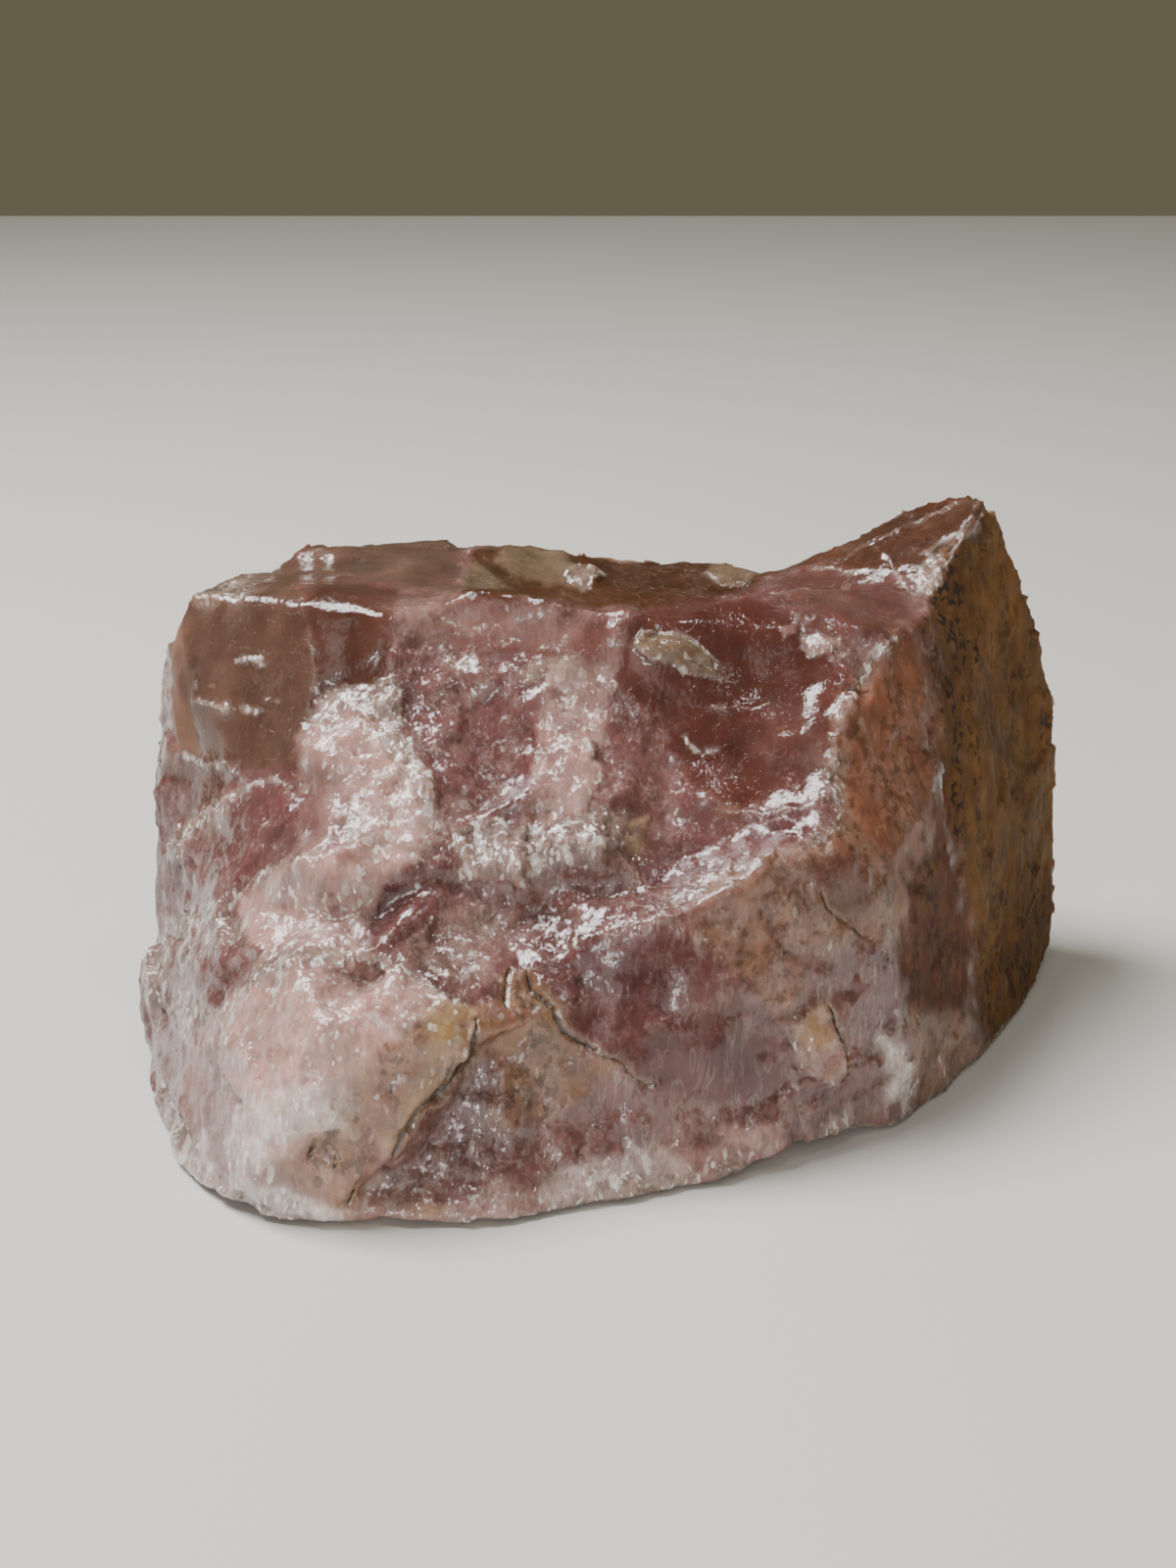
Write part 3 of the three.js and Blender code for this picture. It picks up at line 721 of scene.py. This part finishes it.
    def paint(self, surface: Surface) -> None:
        """Gives every point the look of its patch, and of plain broken quartz where none is."""
        slow = drift(surface.points, self.slow_lumps)
        quick = drift(surface.points, self.quick_lumps, 5.0)
        fine = drift(surface.points, self.fine_lumps, 9.0)
        count = len(surface.points)
        base = LOOKS[Kind.MAUVE]
        for name in LOOK_NAMES:
            surface.values[name] = np.full(count, getattr(base, name))
        surface.values["tint"] = np.tile(np.array(linear(base.colour)[:3]), (count, 1))
        surface.values["raised"] = np.zeros(count)
        self.spread(surface, Kind.PALE, ramp(slow[:, 0] + 0.4 * quick[:, 0], -0.1, 0.35))
        self.spread(surface, Kind.BLUSH, ramp(slow[:, 1] + 0.3 * quick[:, 1], 0.1, 0.4))
        self.spread(surface, Kind.TAN, 0.8 * ramp(slow[:, 2] + 0.4 * quick[:, 2], 0.15, 0.5))
        pixels = self.view.pixels(surface.points)
        facing = ramp(self.view.facing(surface.points, surface.normals), -0.12, 0.02)
        for patch in PATCHES:
            wander = patch.ragged * (0.9 * quick[:, 0] + 1.1 * fine[:, 1])
            inside = outline_distance(pixels, patch.outline) + wander
            share = facing * patch.strength * ramp(inside, -patch.soft, patch.soft)
            self.spread(surface, patch.kind, share)
            surface.blend("raised", patch.raised, share if patch.raised else 0 * share)
        self.mottle(surface, quick, fine)
        crushed = ramp(surface.values["bulge"] + 0.25 * fine[:, 2], 0.30, 0.75)
        broken = ramp(surface.values["relief"], 0.15, 0.45) * (1 - 0.75 * facing)
        surface.blend("frost", 0.7, 0.45 * crushed * broken)
        self.crush_and_paint_highlights(surface, pixels, facing, fine)
        self.crack(surface, pixels, facing, fine)

    def spread(self, surface: Surface, kind: Kind, share: np.ndarray) -> None:
        """Spreads one kind of look over the surface by a share at each point."""
        look = LOOKS[kind]
        surface.blend("tint", np.array(linear(look.colour)[:3]), share)
        for name in LOOK_NAMES:
            surface.blend(name, getattr(look, name), share)

    def mottle(self, surface: Surface, quick: np.ndarray, fine: np.ndarray) -> None:
        """Varies the tint, the veils and the frost from place to place."""
        shade = 0.22 * quick[:, 1] + 0.24 * fine[:, 0]
        ruddy = 0.06 * quick[:, 2] + 0.05 * fine[:, 1]
        surface.values["tint"] *= np.clip(
            1 + np.column_stack([shade + ruddy, shade, shade - 0.6 * ruddy]), 0.6, 1.4)
        for name in ("veil", "frost"):
            surface.values[name] *= np.clip(1 + 1.4 * quick[:, 0] + 0.8 * fine[:, 2], 0.1, 2.2)

    def crush_and_paint_highlights(self, surface: Surface, pixels: np.ndarray, facing: np.ndarray,
              fine: np.ndarray) -> None:
        """Turns the edges white where they are crushed, unevenly along their length, and paints
        the white highlight streaks and glints that some lines stand for.
        """
        for line, width, strength in CRUSHED_EDGES_AND_HIGHLIGHTS:
            away, along = line_distance(pixels + self.edge_wander * fine[:, :2], line)
            away = away / self.view.millimetre / width + 0.9 * fine[:, 2]
            taper = np.clip(12 * along * (1 - along), 0.4, 1)
            share = facing * strength * taper * (1 - ramp(away, 0.30, 1.10))
            self.spread(surface, Kind.FROST, 0.8 * share)
            surface.blend("raised", 0.2, share)
            surface.blend("frost", 0.95, share)

    def crack(self, surface: Surface, pixels: np.ndarray, facing: np.ndarray,
              fine: np.ndarray) -> None:
        """Finds how near each point is to a crack that holds earth, and how deep it lies."""
        nearest = np.full(len(pixels), self.far)
        depth = np.zeros(len(pixels))
        for line, width in CRACKS:
            away, along = line_distance(pixels + self.crack_wander * fine[:, :2], line)
            taper = np.clip(4 * along * (1 - along) * 2.2, 0.15, 1)
            away = away / self.view.millimetre / (width * taper)
            away = np.where(facing > 0.3, away, self.far)
            nearest = np.minimum(away, nearest)
            depth = np.maximum(depth, width * (1 - ramp(away, 0.2, 1.6)))
        surface.values["crack"] = nearest
        surface.values["groove"] = depth

    def carve(self, stone: bpy.types.Object, surface: Surface) -> None:
        """Moves the skin by its facets, flakes and cracks, and holds it inside the solid's box."""
        points, values = surface.points, surface.values
        height = values["relief"] * sum(
            layer.height * facets(points, layer.width, layer.shift) for layer in FACETS)
        height += (0.12 + 0.25 * values["relief"]) * drift(points, self.ripple, 2.0)[:, 0]
        height += self.flake_height * values["raised"] - self.crack_depth * values["groove"]
        resting = ramp(points[:, 2] / MM, 0.0, self.foot)
        moved = points + surface.normals * (height * resting * MM)[:, None]
        low, high = (np.array(corner) for corner in CAD_BOX)
        stone.data.vertices.foreach_set("co", np.clip(moved, low, high).ravel())
        stone.data.update()

    def store(self, stone: bpy.types.Object, surface: Surface) -> None:
        """Writes the looks to the mesh, where the material reads them."""
        tint = stone.data.attributes.new("tint", "FLOAT_COLOR", "POINT")
        rows = np.column_stack([surface.values["tint"], np.ones(len(surface.points))])
        tint.data.foreach_set("color", rows.ravel())
        for name in (*LOOK_NAMES, "crack"):
            layer = stone.data.attributes.new(name, "FLOAT", "POINT")
            layer.data.foreach_set("value", surface.values[name])


@dataclass(frozen=True)
class Recipe:
    """One way to set a node up: its type, the inputs given to it and the output read from it."""

    kind: str
    inputs: tuple[int | str, ...] = ()
    output: int | str = 0
    settings: dict[str, object] = field(default_factory=dict)


PLACE = Recipe("ShaderNodeTexCoord", (), "Object")
TURN = Recipe("ShaderNodeMapping", ("Vector", "Rotation", "Scale"), "Vector")
NOISE = Recipe("ShaderNodeTexNoise", ("Vector", "Scale", "Detail", "Distortion"), "Fac")
CELLS = Recipe("ShaderNodeTexVoronoi", ("Vector", "Scale"), "Color", {"feature": "F1"})
PARTS = Recipe("ShaderNodeSeparateColor", ("Color",), "Red")
GREY = Recipe("ShaderNodeCombineColor", ("Red", "Green", "Blue"), "Color")
PLUS = Recipe("ShaderNodeMath", (0, 1), 0, {"operation": "ADD"})
MINUS = Recipe("ShaderNodeMath", (0, 1), 0, {"operation": "SUBTRACT"})
TIMES = Recipe("ShaderNodeMath", (0, 1), 0, {"operation": "MULTIPLY"})
SHARE = Recipe("ShaderNodeMath", (0, 1), 0, {"operation": "MULTIPLY", "use_clamp": True})
SIZE = Recipe("ShaderNodeMath", (0,), 0, {"operation": "ABSOLUTE"})
RISE = Recipe("ShaderNodeMapRange", ("Value", "From Min", "From Max"), "Result",
              {"interpolation_type": "SMOOTHSTEP"})
SPREAD = Recipe("ShaderNodeMapRange", ("Value", "To Min", "To Max"), "Result")
COVER = Recipe("ShaderNodeMix", (0, 6, 7), 2, {"data_type": "RGBA"})
SHADE = Recipe("ShaderNodeMix", (0, 6, 7), 2, {"data_type": "RGBA", "blend_type": "MULTIPLY"})
STEP = Recipe("ShaderNodeVectorMath", (0, 1), 0, {"operation": "SUBTRACT"})
ALONG = Recipe("ShaderNodeVectorMath", (0, 1), "Value", {"operation": "DOT_PRODUCT"})
BUMP = Recipe("ShaderNodeBump", ("Strength", "Distance", "Height", "Normal"), "Normal")

Socket = bpy.types.NodeSocket


def add(tree: bpy.types.NodeTree, recipe: Recipe, *values: object) -> Socket:
    """Adds one node with its settings and links.

    Args:
        tree: the node tree.
        recipe: how the node is set up.
        values: a value or another node's output for each of the recipe's inputs. None, or too
            few values, leaves an input as it is.

    Returns:
        The output that the recipe reads.
    """
    node = tree.nodes.new(recipe.kind)
    for name, value in recipe.settings.items():
        setattr(node, name, value)
    for key, value in zip(recipe.inputs, values):
        if isinstance(value, Socket):
            tree.links.new(value, node.inputs[key])
        elif value is not None:
            node.inputs[key].default_value = value
    return node.outputs[recipe.output]


@dataclass(frozen=True)
class Canvas:
    """A node tree, the place on the stone, and the looks that its points carry."""

    tree: bpy.types.NodeTree
    place: Socket
    looks: dict[str, Socket]


@dataclass(frozen=True)
class Flecks:
    """One size of white fleck, crushed quartz and painted glint at once: its width in millimetres,
    its strength and its lean.
    """

    width: float
    strength: float
    lean: tuple[float, float, float]


@dataclass(frozen=True)
class RoseQuartz:
    """Rough rose quartz: glassy where it broke clean, milky inside, white where it is crushed,
    with white flecks that are also painted glints.

    Sizes are in millimetres. Bumps and glints are a facet's width and how steeply it tilts.
    """

    ior: float = 1.544
    glow: float = 0.45
    glow_depth: float = 7
    glow_colours: tuple[float, float, float] = (1.0, 0.5, 0.45)
    transmission: float = 0.85
    coat_rough: float = 0.05
    coat_ior: float = 1.5
    veil: str = "#c8b3a6"
    # White of crushed quartz, which the flecks also paint as glints.
    crushed: str = "#f6efe8"
    earth: str = "#2f1c0a"
    earth_stain: str = "#8a6a4a"
    packed_earth: str = "#3a2515"
    stain: str = "#c7a066"
    clouds: float = 18
    wisps: float = 3.4
    haze: float = 6
    rust: float = 5
    pits: float = 1.9
    crack_grain: float = 1.4
    pores: float = 0.9
    gloss_patches: float = 5
    flecks: tuple[Flecks, ...] = (Flecks(1.5, 0.45, (0.2, 0.75, 0.1)),
                                  Flecks(0.7, 0.80, (0.3, -0.35, 0.2)))
    bumps: tuple[tuple[float, float], ...] = ((2.4, 0.4), (1.0, 0.4))
    glints: tuple[tuple[float, float], ...] = ((1.3, 1.0), (0.55, 0.6))

    def material(self) -> bpy.types.Material:
        """Builds the stone's material from the looks that its points carry."""
        # Rough rose quartz: pink light from inside, a wet gloss and small glints on its breaks,
        # from its coat and from painted white flecks.
        made = bpy.data.materials.new("rose_quartz_rough")
        made.use_nodes = True
        tree = made.node_tree
        tree.nodes.remove(tree.nodes["Principled BSDF"])
        looks = {}
        for name in (*LOOK_NAMES, "crack"):
            carried = Recipe("ShaderNodeAttribute", (), "Fac", {"attribute_name": name})
            looks[name] = add(tree, carried)
        on = Canvas(tree, add(tree, PLACE), looks)
        inputs = {
            "Base Color": self.colour(on), "Roughness": self.roughness(on), "IOR": self.ior,
            "Normal": self.relief(on, self.bumps),
            "Subsurface Weight": self.glow, "Subsurface Radius": self.glow_colours,
            "Subsurface Scale": self.glow_depth * MM,
            "Coat Weight": self.coat(on), "Coat Roughness": self.coat_rough,
            "Coat IOR": self.coat_ior, "Coat Normal": self.relief(on, self.glints),
            "Transmission Weight": add(tree, TIMES, looks["clear"], self.transmission)}
        shader = Recipe("ShaderNodeBsdfPrincipled", tuple(inputs), "BSDF",
                        {"subsurface_method": "RANDOM_WALK"})
        tree.links.new(add(tree, shader, *inputs.values()),
                       tree.nodes["Material Output"].inputs["Surface"])
        return made

    def coat(self, on: Canvas) -> Socket:
        """Gives the faceted breaks a sharper glint, and none to what earth covers."""
        clean = add(on.tree, RISE, on.looks["soil"], 0.7, 0.1)
        return add(on.tree, TIMES, clean, add(on.tree, RISE, on.looks["relief"], 0.2, 0.9))

    def roughness(self, on: Canvas) -> Socket:
        """Varies the gloss a little over each patch."""
        grain = add(on.tree, NOISE, on.place, per_metre(self.gloss_patches), 4)
        return add(on.tree, SHARE, on.looks["rough"], add(on.tree, SPREAD, grain, 0.7, 1.3))

    def colour(self, on: Canvas) -> Socket:
        """Colours the stone: its tint, with the painted shade that some patches carry, clouds,
        veils, crushed white with painted glints, stains and earth.
        """
        drawn = add(on.tree, TURN, on.place, (0.3, 0.5, 0.2), (1.0, 1.0, 0.22))
        body = self.clouded(on)
        body = self.veiled(on, body, drawn)
        for flecks in self.flecks:
            body = self.flecked(on, body, flecks)
        body = self.stained(on, body, drawn)
        return self.cracked(on, body)

    def clouded(self, on: Canvas) -> Socket:
        """Starts from the tint of each point, in slow clouds of lighter and darker stone."""
        tree = on.tree
        tint = add(tree, Recipe("ShaderNodeAttribute", (), "Color", {"attribute_name": "tint"}))
        cloud = add(tree, RISE, add(tree, NOISE, on.place, per_metre(self.clouds), 3, 0.4),
                    0.3, 0.7)
        shade = add(tree, SPREAD, cloud, 0.82, 1.18)
        return add(tree, SHADE, 1.0, tint, add(tree, GREY, shade, shade, shade))

    def veiled(self, on: Canvas, body: Socket, drawn: Socket) -> Socket:
        """Draws milky threads and haze through the stone, along its grain."""
        tree = on.tree
        wisp = add(tree, NOISE, drawn, per_metre(self.wisps), 6, 0.8)
        thread = add(tree, RISE, add(tree, SIZE, add(tree, MINUS, wisp, 0.5)), 0.028, 0.0)
        haze = add(tree, RISE, add(tree, NOISE, drawn, per_metre(self.haze), 5, 0.6), 0.42, 0.72)
        both = add(tree, PLUS, add(tree, TIMES, thread, 0.5), add(tree, TIMES, haze, 0.38))
        milky = add(tree, SHARE, on.looks["veil"], both)
        return add(tree, COVER, milky, body, linear(self.veil))

    def flecked(self, on: Canvas, body: Socket, flecks: Flecks) -> Socket:
        """Shades the small breaks unevenly, and turns some white where the stone is frosted:
        crushed white that also paints glints.
        """
        tree = on.tree
        drawn = add(tree, TURN, on.place, flecks.lean, (1.0, 1.0, 0.45))
        red = add(tree, PARTS, add(tree, CELLS, drawn, per_metre(flecks.width)))
        green = red.node.outputs["Green"]
        uneven = add(tree, TIMES, add(tree, MINUS, green, 0.5), on.looks["relief"])
        shade = add(tree, PLUS, add(tree, TIMES, uneven, 0.35), 1.0)
        body = add(tree, SHADE, 1.0, body, add(tree, GREY, shade, shade, shade))
        least = add(tree, MINUS, 1.0, add(tree, TIMES, on.looks["frost"], 0.20))
        white_fleck_and_glint = add(tree, RISE, add(tree, MINUS, red, least), 0.0, 0.10)
        return add(tree, COVER, add(tree, TIMES, white_fleck_and_glint, flecks.strength), body,
                   linear(self.crushed))

    def stained(self, on: Canvas, body: Socket, drawn: Socket) -> Socket:
        """Stains the stone with iron and lays brown earth in its pits."""
        tree = on.tree
        patchy = add(tree, RISE, add(tree, NOISE, on.place, per_metre(self.rust), 5), 0.42, 0.66)
        body = add(tree, COVER, add(tree, SHARE, on.looks["iron"], patchy), body,
                   linear(self.stain))
        small = add(tree, RISE, add(tree, NOISE, on.place, per_metre(self.pits), 3), 0.50, 0.57)
        wide = add(tree, RISE, add(tree, NOISE, drawn, per_metre(self.haze), 3), 0.44, 0.54)
        dirty = add(tree, SHARE, on.looks["soil"], add(tree, TIMES, small, wide))
        return add(tree, COVER, dirty, body, linear(self.earth))

    def cracked(self, on: Canvas, body: Socket) -> Socket:
        """Fills the cracks with earth, and stains the stone beside them."""
        tree = on.tree
        grain = add(tree, NOISE, on.place, per_metre(self.crack_grain), 3)
        away = add(tree, PLUS, on.looks["crack"],
                   add(tree, TIMES, add(tree, MINUS, grain, 0.5), 1.6))
        halo = add(tree, TIMES, add(tree, RISE, away, 3.6, 0.4), 0.55)
        body = add(tree, COVER, halo, body, linear(self.earth_stain))
        line = add(tree, TIMES, add(tree, RISE, away, 0.80, 0.30), 0.9)
        return add(tree, COVER, line, body, linear(self.packed_earth))

    def relief(self, on: Canvas, layers: tuple[tuple[float, float], ...]) -> Socket:
        """Tilts the surface in small facets, finer than the mesh holds.

        Args:
            on: the node tree, the place and the looks.
            layers: each layer's facet width in millimetres and how steeply it tilts.

        Returns:
            The tilted normal.
        """
        tree, normal = on.tree, None
        drawn = add(tree, TURN, on.place, (0.2, 0.45, 0.1), (1.0, 1.0, 0.5))
        for width, steep in layers:
            cell = add(tree, CELLS, drawn, per_metre(width))
            tilt = add(tree, STEP, cell, (0.5, 0.5, 0.5))
            reach = add(tree, STEP, drawn, cell.node.outputs["Position"])
            height = add(tree, TIMES, add(tree, ALONG, tilt, reach), per_metre(width))
            scaled = add(tree, TIMES, height, on.looks["relief"])
            normal = add(tree, BUMP, steep, width * MM, scaled, normal)
        pores = add(tree, NOISE, on.place, per_metre(self.pores), 3)
        return add(tree, BUMP, 0.25, 0.4 * MM, pores, normal)


@dataclass(frozen=True)
class Lamp:
    """One square soft light: its name, place and size in metres, and power in watts."""

    name: str
    place: tuple[float, float, float]
    size: float
    power: float


LAMPS = (
    Lamp("window", (-0.55, 0.10, 1.20), 0.6, 29),
    Lamp("room", (-0.3, -1.4, 0.50), 1.2, 5.5),
    Lamp("glint front", (-0.45, -1.2, 0.30), 0.22, 3.5),
    Lamp("glint right", (0.75, -0.75, 1.0), 0.10, 0.4),
    Lamp("glint top", (0.25, -0.35, 1.1), 0.08, 1.0),
)


@dataclass
class Studio:
    """A pale floor, soft light from the left, and the camera."""

    floor_size: float = 3.0
    floor_colour: str = "#dad9d4"
    floor_rough: float = 0.6
    air_colour: str = "#ccc39c"
    air_strength: float = 0.22
    aim: tuple[float, float, float] = (0, 0, 0.04)
    sensor: float = 36
    view: Viewpoint = field(default_factory=Viewpoint)

    def build(self) -> None:
        """Builds the floor, the lights and the camera."""
        self.floor()
        for lamp in LAMPS:
            self.light(lamp)
        self.air()
        self.camera()

    def floor(self) -> None:
        """Lays the plain floor that the stone rests on."""
        bpy.ops.object.select_all(action="DESELECT")
        bpy.ops.mesh.primitive_plane_add(size=self.floor_size, location=(0, 0, 0))
        floor = bpy.context.active_object
        floor.name = "floor"
        # Matte painted board: even, pale and without a gloss.
        made = bpy.data.materials.new("matte_floor")
        made.use_nodes = True
        shader = made.node_tree.nodes["Principled BSDF"]
        shader.inputs["Base Color"].default_value = linear(self.floor_colour)
        shader.inputs["Roughness"].default_value = self.floor_rough
        floor.data.materials.append(made)

    def light(self, lamp: Lamp) -> None:
        """Hangs one light that shines on the stone."""
        bpy.ops.object.light_add(type="AREA", location=lamp.place)
        hung = bpy.context.active_object
        hung.name = lamp.name
        hung.data.size = lamp.size
        hung.data.energy = lamp.power
        aim = Vector(self.aim) - Vector(lamp.place)
        hung.rotation_euler = aim.to_track_quat("-Z", "Y").to_euler()

    def air(self) -> None:
        """Fills the room with weak even light."""
        world = bpy.data.worlds.new("studio")
        world.use_nodes = True
        inputs = world.node_tree.nodes["Background"].inputs
        inputs["Color"].default_value = linear(self.air_colour)
        inputs["Strength"].default_value = self.air_strength
        bpy.context.scene.world = world

    def camera(self) -> None:
        """Sets the camera at the viewpoint."""
        bpy.ops.object.camera_add(location=self.view.place,
                                  rotation=(math.pi / 2 - self.view.down, 0, 0))
        camera = bpy.context.active_object
        camera.data.sensor_width = self.sensor
        camera.data.lens = self.sensor * self.view.focal / self.view.high
        bpy.context.scene.camera = camera


def main() -> None:
    """Builds the studio and the stone, and reports them."""
    logging.basicConfig(level=logging.INFO)
    Studio().build()
    stone = Chunk().build()
    LOG.info("%s: %d faces", stone.name, len(stone.data.polygons))


if __name__ == "__main__":
    main()
